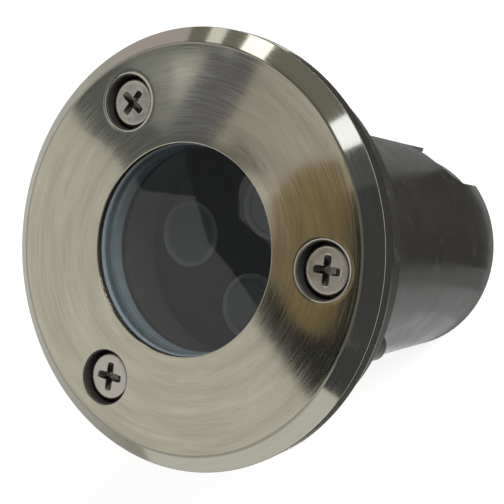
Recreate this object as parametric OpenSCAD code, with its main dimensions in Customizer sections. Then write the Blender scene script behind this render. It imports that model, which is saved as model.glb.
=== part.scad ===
// In ground well light: a steel trim ring over a tapered moulded pot with a pin-base lamp inside.
// Millimetres, +Z up and out of the ground. The origin is the centre of the rim that the pot stands on.

/* [Trim ring] */
// Width of the ring outside the screw circle
ring_rim_w = 13.2; // [12:0.1:17]
// Width of the bevel
bevel_w = 3.9; // [3:0.1:5]
// Height of the bevel at the rim
bevel_h = 2.8; // [1.6:0.1:3.4]
// Height of the straight edge under the bevel
edge_h = 2; // [1:0.1:3]
// Thickness of the steel sheet
sheet_t = 1.5; // [1.2:0.1:1.8]
// Width of the glass's edge that the ring covers
glass_cover = 2.3; // [2:0.1:2.8]

/* [Ring screws] */
// Distance of the screw circle outside the glass seat
screw_set_w = 8.9; // [8.6:0.1:9.4]
// Turn of the first screw from +X, in degrees
screw_turn = -6.8; // [-60:0.2:60]
// Turns of the crosses in the three screws, in degrees
cross_turn_1 = 82; // [0:1:90]
cross_turn_2 = 47; // [0:1:90]
cross_turn_3 = 80; // [0:1:90]
// Diameter of a screw head
head_d = 10.2; // [9:0.1:10.8]
// Height of a screw head
head_h = 3; // [2.4:0.1:3.2]
// Depth of the top of a screw head below the face
head_sink = 1.7; // [1.2:0.1:2]
// Diameter of a screw shank
shank_d = 5.9; // [5.4:0.1:5.9]
// Length of a screw under its head
shank_l = 10.4; // [8:0.2:10.6]
// Width of the cross recess over two arms
cross_w = 6.6; // [5:0.1:7]
// Depth of the cross recess
cross_h = 2.1; // [1.5:0.1:2.4]
// Gap between a screw head and the wall of its well
well_gap = 1.35; // [1:0.05:1.5]
// Wall of a pressed well, which is drawn thinner than the sheet
well_wall = 1.1; // [0.9:0.05:1.2]

/* [Glass and gasket] */
// Width of the pot's ledge under the glass
seat_w = 2.5; // [2:0.1:3]
// Thickness of the glass
glass_t = 5; // [4:0.1:6]
// Outside wall of the gasket round the glass
gasket_wall = 1.4; // [1:0.1:1.6]
// Thickness of the gasket's lip on top of the glass
lip_t = 1; // [0.6:0.1:1.4]
// Width of the glass that the upper lip covers
lip_w = 4.7; // [3.5:0.1:5.5]
// Thickness of the gasket's base under the glass
gasket_base_t = 3; // [2:0.1:4]
// Width of the gasket's base under the glass
gasket_base_w = 3.7; // [3:0.1:5]

/* [Pot] */
// Width of the collar outside the screw circle
collar_rim_w = 8.9; // [8.6:0.1:10]
// Depth of the collar's back edge below the face
collar_depth = 18.6; // [17:0.2:20]
// Wall of the collar
collar_wall = 2.5; // [2:0.1:2.8]
// Thickness of the collar's top
collar_top_t = 3; // [2.4:0.1:3.6]
// Width of the pot's shoulder outside the glass seat
shoulder_w = 5.7; // [5:0.1:6.4]
// Taper of the pot's side from the collar to the lower rim
taper_w = 4.9; // [3:0.1:6]
// Wall of the pot
pot_wall = 2.7; // [2.2:0.1:3]
// Height of the hollow under the pot's floor
skirt_h = 20; // [19.5:0.5:24]
// Thickness of the pot's floor
floor_t = 3; // [2.6:0.1:4]
// Gap between the lamp and the bore that centres it
lamp_gap = 0.5; // [0.3:0.1:0.9]
// Length of the bore beside the lamp's rim
lamp_guide = 3; // [2:0.5:8]
// Wall of the bore
bore_wall = 2.7; // [2:0.1:3]
// Thickness of a stiffening rib in the collar
rib_t = 1.8; // [1.2:0.1:2.4]
// Diameter of a screw boss on the pot's side
side_boss_d = 7.5; // [6.3:0.1:8.4]
// Distance of a side boss outside the screw circle
side_boss_out = 1.8; // [0.6:0.1:2.6]
// Length of a side boss behind the collar
side_boss_l = 11.9; // [8:0.1:22]
// Diameter of the blind hole in a side boss
side_hole_d = 2.6; // [2:0.1:3.4]
// Width of a knock-out panel in the lower rim
knock_w = 19.6; // [18:0.2:20.4]
// Height of the skirt above a knock-out panel
knock_land = 2.9; // [1.6:0.1:5]
// Thickness of a knock-out panel
knock_t = 1.5; // [1:0.1:2]
// Turn of the first knock-out panel from +X, in degrees
knock_turn = 55.2; // [50:0.2:60]

/* [Lamp] */
// Depth of the lamp's front rim below the face
lamp_depth = 25; // [23:0.5:27]
// Diameter of the lamp
lamp_d = 49.8; // [49:0.1:50]
// Length of the lamp without its pins
lamp_l = 41; // [39:0.5:44]
// Diameter of a lens with its holder
lens_d = 16; // [14:0.2:17]
// Width of the lamp's face outside the lenses
lens_rim_w = 0.3; // [0.3:0.1:1.6]
// Turn of the first lens from +X, in degrees
lens_turn = 45; // [0:1:120]
// Number of fins on the lamp
fin_n = 16; // [8:1:20]
// Thickness of a fin
fin_t = 1.6; // [1:0.1:2]
// Distance between the two pins
pin_pitch = 5.33; // [5:0.01:6]
// Diameter of a pin
pin_d = 1.5; // [1.4:0.05:1.6]
// Length of a pin below the lamp
pin_l = 7; // [5:0.1:7.5]

/* [Socket and terminals] */
// Length of the ceramic socket
socket_w = 18; // [17:0.5:22]
// Width of the ceramic socket
socket_b = 10; // [9:0.5:11]
// Height of the ceramic socket
socket_h = 12; // [10:0.5:14]
// Height of the socket above the pot's floor
bracket_h = 7; // [6:0.5:12]
// Width of the bracket's steel strip
strip_b = 10; // [8:0.5:12]
// Thickness of the bracket's steel strip
strip_t = 1; // [0.8:0.1:1.2]
// Wall of the terminal block beside a pole
block_wall = 2.4; // [1.5:0.1:4]
// Width of the terminal block
block_b = 10; // [8:0.5:12]
// Height of the terminal block
block_h = 10; // [8:0.5:12]
// Diameter of a lead from the socket to the terminal block
lead_d = 2; // [1.6:0.1:2.2]

/* [Cable gland] */
// Distance of the gland from the pot's axis
gland_offset = 13; // [12.5:0.1:13.8]
// Width across the flats of the gland's hexagons
gland_af = 16; // [15:0.2:16.4]
// Diameter of the gland's thread
gland_thread_d = 12; // [11.6:0.1:12.4]
// Bore of the gland's seal, for the supply cord
cord_d = 6.6; // [5.6:0.1:7]

/* [Hidden] */

// Segments of a drawn circle, and of a rounded edge in a profile
$fn = 96;
edge_steps = 5;
// Every cut runs this far past the solid that it cuts
over = 1;
// Gap between pieces that lift or turn past each other
slip = 0.3;
// Radial gap of a shaft that turns or slides in its hole
fit_gap = 0.1;
// Threes: ring screws, keying ribs and lenses stand at thirds of a turn
thirds = [0, 120, 240];

// Heights from the face down
total_h = lamp_depth + lamp_l + socket_h + bracket_h + floor_t + skirt_h;
face_z = total_h;
collar_z = face_z - sheet_t;
collar_back_z = face_z - collar_depth;
glass_top_z = collar_z - lip_t;
glass_z = glass_top_z - glass_t;
seat_z = glass_z - gasket_base_t;
ledge_t = 3;
lamp_z = face_z - lamp_depth;
lamp_foot_z = lamp_z - lamp_l;
floor_z = skirt_h + floor_t;

// Radii from the lamp out
lamp_r = lamp_d / 2;
bore_r = lamp_r + lamp_gap;
seat_r = bore_r + seat_w;
gasket_r = seat_r - slip;
glass_r = gasket_r - gasket_wall;
window_r = glass_r - glass_cover;
shoulder_r = seat_r + shoulder_w;
base_r = shoulder_r - taper_w;
screw_r = seat_r + screw_set_w;
collar_r = screw_r + collar_rim_w;
ring_r = screw_r + ring_rim_w;
flat_r = ring_r - bevel_w;

// Trim ring
edge_r = 0.9;
window_edge_r = 0.45;
bevel_turn = atan(bevel_h / bevel_w);

// Ring screws and their wells
head_z = face_z - head_sink;
well_floor_z = head_z - head_h;
well_r = head_d / 2 + well_gap;
well_out_r = well_r + well_wall;
halo_w = 1.9;
halo_drop = 0.14;
screw_hole_gap = 0.35;
screw_hole_r = shank_d / 2 + screw_hole_gap;
head_edge_r = 0.7;
cross_arm_w = 1.7;
cross_foot_share = 0.4;
cross_turns = [cross_turn_1, cross_turn_2, cross_turn_3];

// Boss under each well, with its brass insert
pocket_r = well_out_r + slip;
pocket_wall = 1.6;
pocket_z = well_floor_z - sheet_t - slip;
insert_wall = 1.15;
insert_r = shank_d / 2 + fit_gap + insert_wall;
insert_groove = 0.5;
tip_gap = 0.4;
insert_l = shank_l - sheet_t - slip + tip_gap;
boss_wall = 2.4;
boss_r = insert_r + boss_wall;

// Glass and gasket
glass_edge = 0.5;
lip_edge_r = 0.4;

// Pot
collar_edge_r = 0.8;
bore_foot_z = lamp_z - lamp_guide;
channel_z = collar_z - collar_top_t;
base_edge_r = 0.8;
skirt_r = base_r - pot_wall;
knock_h = skirt_h - knock_land;
knock_floor_r = skirt_r;
knock_rim = 1.5;
knock_corner_r = 8.8;
side_boss_r = side_boss_d / 2;
side_boss_offset = screw_r + side_boss_out;
side_turns = [knock_turn - 90, knock_turn + 90];
side_hole_l = 12;
web_t = 3;
rib_turns = [30, 60, 90];
rib_set_back = 0.8;
floor_boss_r = 3.2;
floor_boss_h = 6;

// Radius of the pot's tapered outside at a height
function pot_r(z) = base_r + (shoulder_r - base_r) * z / collar_back_z;

// Lamp
cup_h = 13;
cup_wall = 2.3;
cup_floor_t = 2;
cup_r = lamp_r - cup_wall;
cup_edge_r = 1.2;
shelf_z = lamp_z - cup_h + cup_floor_t;
board_t = 1.6;
board_z = shelf_z + board_t;
board_r = cup_r - fit_gap;
face_t = 1.8;
face_drop = 0.4;
holder_r = lens_d / 2;
lens_r = board_r - holder_r - lens_rim_w;
holder_wall = 1.2;
holder_stand = 0.3;
lens_top_drop = 0.5;
lens_foot_r = 2.8;
lens_gap = 0.3;
lens_disc_t = 1.6;
chip_w = 3.5;
chip_t = 1.5;
core_inset = 5.6;
core_top_r = cup_r - core_inset;
neck_r = 10;
neck_wall = 2.4;
base_h = 8;
neck_z = lamp_foot_z + base_h;
fin_lift = 3;
fin_foot_z = neck_z + fin_lift;
fin_inset = 0.6;
fin_top_r = lamp_r - fin_inset;
fin_foot_w = 1.6;
fin_foot_r = neck_r + fin_foot_w;
spigot_l = 3;
spigot_wall = 1;
base_floor_t = 2;
driver_side_gap = 0.6;
driver_w = 2 * (neck_r - neck_wall - spigot_wall - driver_side_gap);
driver_t = 1.2;
driver_head_room = 7;
driver_h = lamp_l - cup_h - base_floor_t - driver_head_room;
driver_gap = 1;
capacitor_r = 2.4;
capacitor_h = 8;
coil_w = 5;
coil_h = 6;
coil_b = 3.4;
wire_r = 0.5;
wire_inset = 1.8;
wire_x = driver_w / 2 - wire_inset;
wire_hole_r = 0.9;
board_screw_r = 1.5;
board_screw_head_r = 2.8;
board_screw_head_h = 1.8;
pin_r = pin_d / 2;
pin_embed = 2;

// Socket, bracket, screws and terminals
socket_z = lamp_foot_z - socket_h;
socket_hole_r = pin_r + fit_gap;
socket_cap_t = 2;
contact_wall = 0.75;
contact_r = pin_r + contact_wall;
contact_foot = 1;
socket_screw_r = 1.25;
socket_screw_head_r = 1.9;
socket_screw_head_h = 1.4;
socket_screw_inset = 2.4;
socket_screw_x = socket_w / 2 - socket_screw_inset;
leg_gap = 6;
leg_x = socket_w / 2 + leg_gap;
foot_l = 9.5;
floor_screw_out = 5;
floor_screw_x = leg_x + floor_screw_out;
floor_screw_r = 1.3;
floor_screw_head_r = 2.6;
floor_screw_head_h = 2;
floor_screw_l = 8;
block_gap = 4;
block_y = socket_b / 2 + block_gap;
clamp_r = 2.1;
block_pole_x = floor_screw_head_r + slip + clamp_r;
block_w = 2 * (block_pole_x + clamp_r + block_wall);
clamp_bore_r = 1.3;
clamp_lift = 3;
clamp_z = floor_z + clamp_lift;
clamp_screw_r = 1.2;
clamp_screw_inset = 2.6;
driver_slot = 0.5;
lead_slot_gap = 1.2;
lead_slot_w = pin_pitch + lead_d + 2 * lead_slot_gap;
lead_slot_b = lead_d + 2 * lead_slot_gap;
lead_sides = 8;
lead_rings = 12;
lead_drop = 4;
lead_run = 6;
lead_plug = 2;

// Cable gland
gland_r = gland_thread_d / 2;
gland_hex_h = 4;
washer_t = 1;
gland_hex_z = skirt_h - washer_t - gland_hex_h;
gland_stand = 5.4;
gland_top_z = floor_z + gland_stand;
gland_clamp_l = 7;
gland_foot_z = gland_hex_z - gland_clamp_l;
gland_bore_gap = 0.6;
gland_bore_r = cord_d / 2 + gland_bore_gap;
gland_thread_wall = 1;
seal_r = gland_r - gland_thread_wall;
seal_l = 8;
locknut_h = 3.4;
nut_wall_t = 2;
nut_stand = 0.5;
seal_stand = 2.2;
nut_foot_z = gland_foot_z - slip - nut_wall_t - seal_stand;
nut_mouth_r = gland_bore_r;
nut_edge = 1.2;

// Points of a circular arc, from one angle to another
function arc(x, y, r, from, to, steps = edge_steps) =
    [for (i = [0 : steps]) let (a = from + (to - from) * i / steps) [x + r * cos(a), y + r * sin(a)]];

// Corner radius of a hexagon across its flats
function hex_r(af) = af / 2 / cos(30);

module at_screws() {
    for (a = thirds) rotate(screw_turn + a) translate([screw_r, 0, 0]) children();
}

module at_lenses() {
    for (a = thirds) rotate(lens_turn + a) translate([lens_r, 0, 0]) children();
}

// A disc or bar from one height to another
module rod(r, from, to) {
    translate([0, 0, from]) cylinder(r = r, h = to - from);
}

// A block centred on the axis, from one height to another
module slab(w, b, from, to) {
    translate([-w / 2, -b / 2, from]) cube([w, b, to - from]);
}

module hexagon(af, from, to) {
    translate([0, 0, from]) cylinder(r = hex_r(af), h = to - from, $fn = 6);
}

// Pressed ring: flat face, bevel, short straight edge, all of one thickness
module ring_profile() {
    half = bevel_turn / 2;
    polygon(concat(
        arc(window_r + window_edge_r, face_z - window_edge_r, window_edge_r, 180, 90),
        arc(flat_r - edge_r * tan(half), face_z - edge_r, edge_r, 90, 90 - bevel_turn),
        [
            [ring_r, face_z - bevel_h],
            [ring_r, face_z - bevel_h - edge_h],
            [ring_r - sheet_t, face_z - bevel_h - edge_h],
            [ring_r - sheet_t, face_z - bevel_h - sheet_t * tan(45 - half)],
            [flat_r - sheet_t * tan(half), collar_z],
            [window_r, collar_z]
        ]));
}

module face_ring() {
    color("#b4aca0") difference() {
        union() {
            rotate_extrude() ring_profile();
            at_screws() rod(well_out_r, well_floor_z - sheet_t, face_z - bevel_h / 2);
        }
        at_screws() {
            rod(well_r, well_floor_z, face_z + over);
            rod(screw_hole_r, well_floor_z - sheet_t - over, well_floor_z + over);
            translate([0, 0, face_z - halo_drop])
                cylinder(r1 = well_r, r2 = well_r + halo_w, h = halo_drop);
        }
    }
}

// One arm pair of the cross recess, narrowing downwards
module cross_slot() {
    foot = cross_w / 2 * cross_foot_share;
    rotate([90, 0, 0]) linear_extrude(height = cross_arm_w, center = true)
        polygon([[-foot, head_z - cross_h], [foot, head_z - cross_h], [cross_w / 2, head_z],
                 [cross_w / 2, head_z + over], [-cross_w / 2, head_z + over], [-cross_w / 2, head_z]]);
}

// Flat-topped screw with a rounded edge and a cross recess
module ring_screw(i) {
    head_r = head_d / 2;
    tip_z = well_floor_z - shank_l;
    color("#a8a299") rotate(screw_turn + thirds[i]) translate([screw_r, 0, 0])
        rotate(cross_turns[i] - screw_turn - thirds[i]) difference() {
            union() {
                rotate_extrude() polygon(concat(
                    [[0, well_floor_z], [head_r, well_floor_z]],
                    arc(head_r - head_edge_r, head_z - head_edge_r, head_edge_r, 0, 90),
                    [[0, head_z]]));
                rod(shank_d / 2, tip_z, well_floor_z);
            }
            for (a = [0, 90]) rotate(a) cross_slot();
        }
}

module glass_lens() {
    color("#9fb0b8", 0.4) rotate_extrude() polygon([
        [0, glass_z], [glass_r - glass_edge, glass_z], [glass_r, glass_z + glass_edge],
        [glass_r, glass_top_z - glass_edge], [glass_r - glass_edge, glass_top_z], [0, glass_top_z]]);
}

// Channel-shaped gasket that grips the rim of the glass
module glass_gasket() {
    lip_r = glass_r - lip_w;
    foot_r = glass_r - gasket_base_w;
    color("#7d8a90") rotate_extrude() polygon(concat(
        [[gasket_r, seat_z], [gasket_r, collar_z]],
        arc(lip_r + lip_edge_r, collar_z - lip_edge_r, lip_edge_r, 90, 180),
        [
            [lip_r, glass_top_z],
            [glass_r - glass_edge, glass_top_z],
            [glass_r, glass_top_z - glass_edge],
            [glass_r, glass_z + glass_edge],
            [glass_r - glass_edge, glass_z],
            [foot_r, glass_z],
            [foot_r, seat_z]
        ]));
}

// Tapered shell with its collar channel, glass seat, lamp bore, floor and skirt in one revolve
module pot_profile() {
    block_z = seat_z - ledge_t;
    bore_out_r = bore_r + bore_wall;
    polygon(concat(
        arc(base_r - base_edge_r, base_edge_r, base_edge_r, -90, 0),
        [
            [pot_r(channel_z), channel_z],
            [collar_r - collar_wall, channel_z],
            [collar_r - collar_wall, collar_back_z]
        ],
        arc(collar_r - collar_edge_r, collar_back_z + collar_edge_r, collar_edge_r, -90, 0),
        arc(collar_r - collar_edge_r, collar_z - collar_edge_r, collar_edge_r, 0, 90),
        [
            [seat_r, collar_z], [seat_r, seat_z], [bore_r, seat_z], [bore_r, bore_foot_z],
            [bore_out_r, bore_foot_z], [bore_out_r, block_z], [pot_r(block_z) - pot_wall, block_z],
            [pot_r(floor_z) - pot_wall, floor_z], [0, floor_z], [0, skirt_h], [skirt_r, skirt_h],
            [skirt_r, 0]
        ]));
}

// Boss and pocket under each pressed well, kept inside the collar
module pot_bosses() {
    intersection() {
        at_screws() {
            rod(boss_r, collar_back_z, channel_z + over);
            rod(pocket_r + pocket_wall, pocket_z - pocket_wall, collar_z);
        }
        difference() {
            rod(collar_r - collar_edge_r, collar_back_z, collar_z);
            rod(seat_r, collar_back_z - over, collar_z + over);
        }
    }
}

// Radial ribs that stiffen the channel under the collar
module pot_ribs() {
    inner = pot_r(collar_back_z) - pot_wall / 2;
    outer = collar_r - collar_wall / 2;
    for (third = thirds, a = rib_turns) rotate(screw_turn + third + a)
        translate([inner, -rib_t / 2, collar_back_z + rib_set_back])
            cube([outer - inner, rib_t, channel_z - collar_back_z]);
}

// Screw bosses behind the collar, each webbed to the pot's side
module side_bosses() {
    foot_z = collar_back_z - side_boss_l;
    inner = pot_r(foot_z) - pot_wall / 2;
    for (a = side_turns) rotate(a) {
        translate([side_boss_offset, 0, 0]) rod(side_boss_r, foot_z, channel_z + over);
        translate([inner, -web_t / 2, foot_z]) cube([side_boss_offset - inner, web_t, channel_z - foot_z]);
    }
}

module at_side_bosses() {
    for (a = side_turns) rotate(a) translate([side_boss_offset, 0, 0]) children();
}

// Outline of a knock-out panel with its corners rounded at the top, swept out along a radius
module knock_panel(rim) {
    w = knock_w / 2 + rim;
    r = knock_corner_r + rim;
    foot = -2 * over;
    rotate([90, 0, 90]) linear_extrude(height = 2 * base_r) union() {
        translate([-w, foot]) square([2 * w, knock_h + rim - r - foot]);
        translate([r - w, foot]) square([2 * (w - r), knock_h + rim - foot]);
        for (x = [r - w, w - r]) translate([x, knock_h + rim - r]) circle(r = r);
    }
}

module at_knock_outs() {
    for (a = [0, 180]) rotate(knock_turn + a) children();
}

module ground_pot() {
    knock_in_r = knock_floor_r - knock_t;
    color("#55554f") difference() {
        union() {
            rotate_extrude() pot_profile();
            pot_bosses();
            pot_ribs();
            side_bosses();
            at_knock_outs() intersection() {
                difference() {
                    rod(skirt_r + knock_rim, 0, skirt_h + floor_t / 2);
                    rod(knock_in_r, -over, skirt_h + floor_t);
                }
                knock_panel(knock_rim);
            }
            for (x = [-floor_screw_x, floor_screw_x]) translate([x, 0, 0])
                rod(floor_boss_r, skirt_h - floor_boss_h, skirt_h + floor_t / 2);
            translate([0, block_y + block_b / 2, 0])
                rod(floor_boss_r, skirt_h - floor_boss_h, skirt_h + floor_t / 2);
        }
        at_screws() {
            rod(pocket_r, pocket_z, collar_z + over);
            rod(insert_r + fit_gap / 2, pocket_z - insert_l, pocket_z + over);
        }
        at_knock_outs() difference() {
            knock_panel(0);
            rod(knock_floor_r, -3 * over, knock_h + over);
        }
        at_floor_screws()
            rod(floor_screw_r + fit_gap / 2, floor_z - floor_screw_l + strip_t, floor_z + over);
        at_side_bosses()
            rod(side_hole_d / 2, collar_back_z - side_boss_l - over, collar_back_z - side_boss_l + side_hole_l);
        at_gland() rod(gland_r, skirt_h - over, floor_z + over);
    }
}

module thread_inserts() {
    color("#c9a24a") at_screws() difference() {
        rod(insert_r, pocket_z - insert_l, pocket_z);
        rod(shank_d / 2 + fit_gap, pocket_z - insert_l - over, pocket_z + over);
        difference() {
            rod(insert_r + over, pocket_z - insert_l * 2 / 3, pocket_z - insert_l / 3);
            rod(insert_r - insert_groove, pocket_z - insert_l, pocket_z);
        }
    }
}

// Cup, tapered core and neck of the lamp, hollow for the driver
module lamp_core() {
    rotate_extrude() polygon(concat(
        arc(lamp_r - cup_edge_r, lamp_z - cup_h + cup_edge_r, cup_edge_r, -90, 0),
        [
            [lamp_r, lamp_z], [cup_r, lamp_z], [cup_r, shelf_z],
            [board_screw_r, shelf_z], [board_screw_r, lamp_z - cup_h],
            [neck_r - neck_wall, lamp_z - cup_h], [neck_r - neck_wall, neck_z],
            [neck_r, neck_z], [neck_r, fin_foot_z], [core_top_r, lamp_z - cup_h]
        ]));
}

module at_wires() {
    for (x = [-wire_x, wire_x]) translate([x, 0, 0]) children();
}

module lamp_body() {
    color("#8c8f92") union() {
        difference() {
            lamp_core();
            at_wires() rod(wire_hole_r, lamp_z - cup_h - over, shelf_z + over);
        }
        for (i = [0 : fin_n - 1]) rotate(360 * i / fin_n) rotate([90, 0, 0])
            linear_extrude(height = fin_t, center = true) polygon([
                [neck_r - neck_wall / 2, fin_foot_z], [fin_foot_r, fin_foot_z],
                [fin_top_r, lamp_z - cup_h - cup_edge_r], [fin_top_r, lamp_z - cup_h + cup_edge_r],
                [core_top_r - cup_edge_r, lamp_z - cup_h + cup_edge_r]]);
    }
}

module lamp_face() {
    color("#3a3b3c") difference() {
        rod(board_r, lamp_z - face_drop - face_t, lamp_z - face_drop);
        at_lenses() rod(holder_r, lamp_z - face_drop - face_t - over, lamp_z + over);
    }
}

module lens_holders() {
    color("#8a8b88") at_lenses() difference() {
        rod(holder_r, board_z, lamp_z + holder_stand);
        rod(holder_r - holder_wall, board_z - over, lamp_z + holder_stand + over);
    }
}

// Lens that narrows from its disc to the chip
module lamp_lenses() {
    top = lamp_z - lens_top_drop;
    r = holder_r - holder_wall;
    color("#c8ccd0", 0.6) at_lenses() rotate_extrude() polygon([
        [0, board_z + chip_t + lens_gap], [lens_foot_r, board_z + chip_t + lens_gap],
        [r, top - lens_disc_t], [r, top], [0, top]]);
}

module led_board() {
    color("#d8d8d2") difference() {
        rod(board_r, shelf_z, board_z);
        rod(board_screw_r, shelf_z - over, board_z + over);
    }
}

module led_chips() {
    color("#e6d36a") at_lenses() slab(chip_w, chip_w, board_z, board_z + chip_t);
}

module board_screw() {
    color("#b8b8b8") union() {
        rod(board_screw_r, lamp_z - cup_h, board_z);
        rod(board_screw_head_r, board_z, board_z + board_screw_head_h);
    }
}

// Upright board between the lamp's base and the cup, with its two largest components
module driver_board() {
    foot_z = lamp_foot_z + base_floor_t;
    color("#3e6b4a") union() {
        slab(driver_w, driver_t, foot_z, foot_z + driver_h);
        translate([0, driver_t / 2 + capacitor_r, foot_z + driver_gap])
            cylinder(r = capacitor_r, h = capacitor_h);
        translate([0, driver_t / 2 + capacitor_r / 2, foot_z + driver_gap])
            slab(capacitor_r, capacitor_r, 0, capacitor_h);
        translate([-coil_w / 2, -driver_t / 2 - coil_b, foot_z + driver_gap + capacitor_h])
            cube([coil_w, coil_b, coil_h]);
    }
}

// Wires from the driver's upper edge to the underside of the board with the chips
module lamp_wires() {
    color("#b03a30") at_wires() rod(wire_r, lamp_foot_z + base_floor_t + driver_h, shelf_z);
}

// Insulating cap that closes the neck and carries the pins
module lamp_base() {
    in_r = neck_r - neck_wall;
    color("#d9d6cf") difference() {
        union() {
            rod(neck_r, lamp_foot_z, neck_z);
            rod(in_r, neck_z, neck_z + spigot_l);
        }
        rod(in_r - spigot_wall, lamp_foot_z + base_floor_t, neck_z + spigot_l + over);
        at_pins() rod(pin_r, lamp_foot_z - over, lamp_foot_z + pin_embed);
    }
}

module at_pins() {
    for (x = [-pin_pitch / 2, pin_pitch / 2]) translate([x, 0, 0]) children();
}

module lamp_pins() {
    color("#c8c4b8") at_pins() rod(pin_r, lamp_foot_z - pin_l, lamp_foot_z + pin_embed);
}

module at_socket_screws() {
    for (x = [-socket_screw_x, socket_screw_x]) translate([x, 0, 0]) children();
}

// Ceramic block with rounded ends
module lamp_socket() {
    color("#e4e0d6") difference() {
        intersection() {
            slab(socket_w, socket_b, socket_z, lamp_foot_z);
            rod(socket_w / 2, socket_z, lamp_foot_z);
        }
        at_pins() {
            rod(socket_hole_r, lamp_foot_z - socket_cap_t - over, lamp_foot_z + over);
            rod(contact_r, socket_z - over, lamp_foot_z - socket_cap_t);
        }
        at_socket_screws() {
            rod(socket_screw_r, socket_z - over, lamp_foot_z + over);
            rod(socket_screw_head_r, lamp_foot_z - socket_screw_head_h - fit_gap, lamp_foot_z + over);
        }
    }
}

module socket_contacts() {
    color("#c9a24a") at_pins() difference() {
        rod(contact_r, socket_z + contact_foot, lamp_foot_z - socket_cap_t);
        rod(pin_r + fit_gap / 2, socket_z + contact_foot + lead_d, lamp_foot_z);
    }
}

module socket_screws() {
    color("#b8b8b8") at_socket_screws() difference() {
        union() {
            rod(socket_screw_r, socket_z - strip_t - over, lamp_foot_z - fit_gap);
            rod(socket_screw_head_r, lamp_foot_z - socket_screw_head_h - fit_gap, lamp_foot_z - fit_gap);
        }
        slab(2 * socket_screw_head_r + over, driver_slot, lamp_foot_z - socket_screw_head_h / 2, lamp_foot_z);
    }
}

// Bent steel strip: two feet, two legs and a bridge under the socket
module socket_bracket() {
    color("#9aa0a4") difference() {
        union() {
            slab(2 * leg_x, strip_b, socket_z - strip_t, socket_z);
            for (side = [0, 180]) rotate(side) {
                translate([leg_x - strip_t, -strip_b / 2, floor_z]) cube([strip_t, strip_b, socket_z - floor_z]);
                translate([leg_x - strip_t, -strip_b / 2, floor_z]) cube([foot_l, strip_b, strip_t]);
            }
        }
        slab(lead_slot_w, lead_slot_b, socket_z - strip_t - over, socket_z + over);
        at_socket_screws() rod(socket_screw_r, socket_z - strip_t - over, socket_z + over);
        for (x = [-floor_screw_x, floor_screw_x]) translate([x, 0, 0])
            rod(floor_screw_r, floor_z - over, floor_z + strip_t + over);
    }
}

module at_floor_screws() {
    for (x = [-floor_screw_x, floor_screw_x]) translate([x, 0, 0]) children();
    translate([0, block_y + block_b / 2, 0]) children();
}

module floor_screws() {
    color("#b8b8b8") at_floor_screws() difference() {
        union() {
            rod(floor_screw_r, floor_z + strip_t - floor_screw_l, floor_z + strip_t);
            rod(floor_screw_head_r, floor_z + strip_t, floor_z + strip_t + floor_screw_head_h);
        }
        slab(2 * floor_screw_head_r + over, driver_slot,
             floor_z + strip_t + floor_screw_head_h / 2, floor_z + strip_t + floor_screw_head_h + over);
    }
}

module at_poles() {
    for (x = [-block_pole_x, block_pole_x]) translate([x, block_y, 0]) children();
}

// A bore along the terminal block, from its near face to its far one
module pole_bore(r, from, to) {
    translate([0, from, clamp_z]) rotate([-90, 0, 0]) cylinder(r = r, h = to - from);
}

module terminal_block() {
    color("#e8e6e0") difference() {
        translate([0, block_y + block_b / 2, 0]) slab(block_w, block_b, floor_z, floor_z + block_h);
        at_poles() {
            pole_bore(clamp_r, -over, block_b + over);
            for (y = [clamp_screw_inset, block_b - clamp_screw_inset]) translate([0, y, 0])
                rod(clamp_screw_r + fit_gap, clamp_z, floor_z + block_h + over);
        }
        translate([0, block_y + block_b / 2, 0]) {
            rod(floor_screw_r, floor_z - over, floor_z + strip_t + over);
            rod(floor_screw_head_r, floor_z + strip_t, floor_z + block_h + over);
        }
    }
}

module terminal_clamps() {
    color("#c9a24a") at_poles() difference() {
        pole_bore(clamp_r, 0, block_b);
        pole_bore(clamp_bore_r, -over, block_b + over);
        for (y = [clamp_screw_inset, block_b - clamp_screw_inset]) translate([0, y, 0])
            rod(clamp_screw_r, clamp_z, floor_z + block_h);
    }
}

module terminal_screws() {
    top = floor_z + block_h - driver_slot;
    color("#b8b8b8") at_poles() for (y = [clamp_screw_inset, block_b - clamp_screw_inset])
        translate([0, y, 0]) difference() {
            rod(clamp_screw_r, clamp_z + clamp_bore_r, top);
            slab(2 * clamp_screw_r + over, driver_slot, top - driver_slot, top + over);
        }
}

// Point and direction of a lead on its way from a socket contact to a pole of the terminal block
function lead_ends(side) = [
    [side * pin_pitch / 2, 0, socket_z + contact_foot],
    [side * pin_pitch / 2, 0, socket_z - lead_drop],
    [side * block_pole_x, block_y - lead_run, clamp_z],
    [side * block_pole_x, block_y + lead_plug, clamp_z]
];
function lead_point(q, t) =
    pow(1 - t, 3) * q[0] + 3 * t * pow(1 - t, 2) * q[1] + 3 * t * t * (1 - t) * q[2] + pow(t, 3) * q[3];
function lead_way(q, t) =
    let (d = pow(1 - t, 2) * (q[1] - q[0]) + 2 * t * (1 - t) * (q[2] - q[1]) + t * t * (q[3] - q[2])) d / norm(d);
function lead_ring(q, t) =
    let (w = lead_way(q, t), u = [1, 0, 0] - w[0] * w, e = u / norm(u), g = cross(w, e))
    [for (k = [0 : lead_sides - 1]) let (a = 360 * k / lead_sides)
        lead_point(q, t) + lead_d / 2 * (cos(a) * e + sin(a) * g)];

// Round lead swept along one smooth curve, straight out of the contact and straight into the terminal
module lead(side) {
    q = lead_ends(side);
    n = lead_sides;
    last = n * lead_rings;
    polyhedron(
        points = [for (i = [0 : lead_rings], p = lead_ring(q, i / lead_rings)) p],
        faces = concat(
            [[for (k = [0 : n - 1]) k], [for (k = [n - 1 : -1 : 0]) last + k]],
            [for (i = [0 : lead_rings - 1], k = [0 : n - 1])
                [i * n + k, (i + 1) * n + k, (i + 1) * n + (k + 1) % n, i * n + (k + 1) % n]]));
}

module lead_left() {
    color("#3d6fa8") lead(-1);
}

module lead_right() {
    color("#7a4a2e") lead(1);
}

module at_gland() {
    translate([0, -gland_offset, 0]) children();
}

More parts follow.
